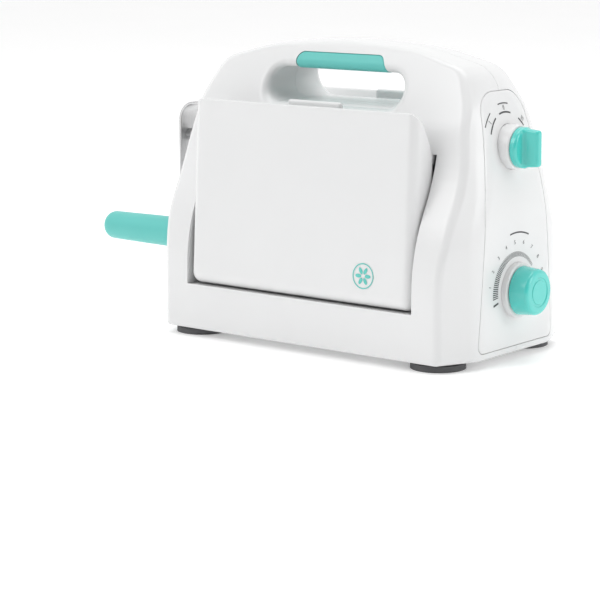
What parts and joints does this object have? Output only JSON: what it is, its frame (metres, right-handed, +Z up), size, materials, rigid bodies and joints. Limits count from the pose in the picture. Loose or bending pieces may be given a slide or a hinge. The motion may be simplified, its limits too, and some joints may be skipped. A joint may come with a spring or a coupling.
{
  "type": "die cutting machine",
  "caption": "Hand-cranked die cutting machine with rollers in a moulded casing, carrying handle, fold-down tray doors, selector knob and fine dial.",
  "frame": {"origin": "middle of the whole object's footprint, crank and knobs included, on the surface it stands on", "axes": "+X along the rollers towards the selector and the dial, +Z up, front at -Y"},
  "size_m": [0.464, 0.172, 0.2496],
  "materials": {
    "casing_white": "glossy moulded ABS, faint orange peel",
    "inner_white": "fine-textured moulded ABS",
    "mint_soft": "satin mint plastic",
    "rubber_foot": "matte rubber",
    "brushed_steel": "brushed along its length",
    "ground_steel": "ground and oiled",
    "zinc_plate": "bright zinc plated sheet",
    "bronze": "sintered bronze",
    "acetal_grey": "moulded acetal"
  },
  "bodies": {
    "casing": {"front_shell": "casing_white", "rear_shell": "casing_white", "left_side_panel": "casing_white", "right_side_panel": "casing_white", "handle_grip": "mint_soft", "feet": "rubber_foot", "foot_screws": "zinc_plate", "shell_screws": "zinc_plate", "base_plate": "zinc_plate", "left_frame_plate": "zinc_plate", "right_frame_plate": "zinc_plate", "tie_rods": "ground_steel", "frame_screws": "zinc_plate", "crank_gear_plate": "zinc_plate", "dial_gear_plate": "zinc_plate", "plate_spacers": "ground_steel", "front_inner_panel": "inner_white", "rear_inner_panel": "inner_white", "hinge_pins": "ground_steel", "platform_bed": "brushed_steel", "roller_bushes": "bronze", "crank_bushes": "bronze", "idler_axle": "ground_steel", "transfer_axle": "ground_steel", "axle_clip": "ground_steel", "selector_collar": "casing_white", "dial_collar": "casing_white"},
    "crank": {"crank_shaft": "ground_steel", "crank_pinion": "ground_steel", "crank_hub": "casing_white", "crank_arm": "brushed_steel", "crank_bolt": "zinc_plate", "grip_spindle": "ground_steel"},
    "hand_grip": {"crank_grip": "mint_soft"},
    "idler": {"idler_gear": "ground_steel"},
    "driven_roller": {"lower_roller": "ground_steel", "lower_roller_shaft": "ground_steel", "lower_roller_gear": "ground_steel"},
    "carriage": {"bearing_blocks": "acetal_grey", "carriage_tie_bars": "ground_steel", "pressure_springs": "ground_steel"},
    "pressure_roller": {"upper_roller": "ground_steel", "upper_roller_shaft": "ground_steel"},
    "preload": {"preload_frame": "zinc_plate"},
    "selector": {"selector_knob": "mint_soft", "selector_shaft": "ground_steel", "selector_cams": "ground_steel"},
    "dial": {"dial_knob": "mint_soft", "dial_shaft": "ground_steel", "dial_gear": "bronze"},
    "transfer": {"transfer_gear": "bronze"},
    "fine_adjuster": {"fine_camshaft": "ground_steel", "fine_cams": "ground_steel", "fine_cam_gear": "bronze"},
    "front_tray": {"front_door": "casing_white", "front_door_liner": "inner_white"},
    "rear_tray": {"rear_door": "casing_white", "rear_door_liner": "inner_white"}
  },
  "joints": [
    {"name": "crank_turn", "type": "hinge", "parent": "casing", "child": "crank", "pos_m": [-0.0945, 0, 0.158], "axis": [1, 0, 0], "continuous": true},
    {"name": "grip_spin", "type": "hinge", "parent": "crank", "child": "hand_grip", "pos_m": [-0.1845, 0, 0.069], "axis": [1, 0, 0], "continuous": true},
    {"name": "idler_spin", "type": "hinge", "parent": "casing", "child": "idler", "pos_m": [-0.0715, 0, 0.1145], "axis": [1, 0, 0], "continuous": true},
    {"name": "driven_roller_spin", "type": "hinge", "parent": "casing", "child": "driven_roller", "pos_m": [0.0555, 0, 0.056], "axis": [1, 0, 0], "continuous": true},
    {"name": "carriage_slide", "type": "slide", "parent": "casing", "child": "carriage", "axis": [0, 0, 1], "range_m": [-0.002, 0]},
    {"name": "pressure_roller_spin", "type": "hinge", "parent": "carriage", "child": "pressure_roller", "pos_m": [0.0555, 0, 0.11], "axis": [1, 0, 0], "continuous": true},
    {"name": "preload_slide", "type": "slide", "parent": "casing", "child": "preload", "axis": [0, 0, 1], "range_m": [-0.0015, 0.0015], "deforming": ["pressure_springs"]},
    {"name": "selector_turn", "type": "hinge", "parent": "casing", "child": "selector", "pos_m": [0.2055, 0, 0.17], "axis": [1, 0, 0], "range_deg": [-45, 45]},
    {"name": "dial_turn", "type": "hinge", "parent": "casing", "child": "dial", "pos_m": [0.2055, 0, 0.057], "axis": [1, 0, 0], "range_deg": [0, 270]},
    {"name": "transfer_gear_spin", "type": "hinge", "parent": "casing", "child": "transfer", "pos_m": [0.1655, 0, 0.09525], "axis": [1, 0, 0], "range_deg": [-240, 0]},
    {"name": "fine_adjuster_turn", "type": "hinge", "parent": "casing", "child": "fine_adjuster", "pos_m": [0.1655, 0, 0.1335], "axis": [1, 0, 0], "range_deg": [0, 270]},
    {"name": "front_tray_hinge", "type": "hinge", "parent": "casing", "child": "front_tray", "pos_m": [0.0555, -0.0763, 0.0555], "axis": [1, 0, 0], "range_deg": [0, 90]},
    {"name": "rear_tray_hinge", "type": "hinge", "parent": "casing", "child": "rear_tray", "pos_m": [0.0555, 0.0763, 0.0555], "axis": [-1, 0, 0], "range_deg": [0, 90]}
  ],
  "couplings": [
    {"joint": "idler_spin", "follows": "crank_turn", "ratio": -0.38095},
    {"joint": "driven_roller_spin", "follows": "crank_turn", "ratio": 0.44444},
    {"joint": "preload_slide", "follows": "selector_turn", "m_per_rad": -0.0019099},
    {"joint": "dial_turn", "follows": "carriage_slide", "rad_per_m": -2356.2},
    {"joint": "transfer_gear_spin", "follows": "carriage_slide", "rad_per_m": 2094.4},
    {"joint": "fine_adjuster_turn", "follows": "carriage_slide", "rad_per_m": -2356.2}
  ]
}
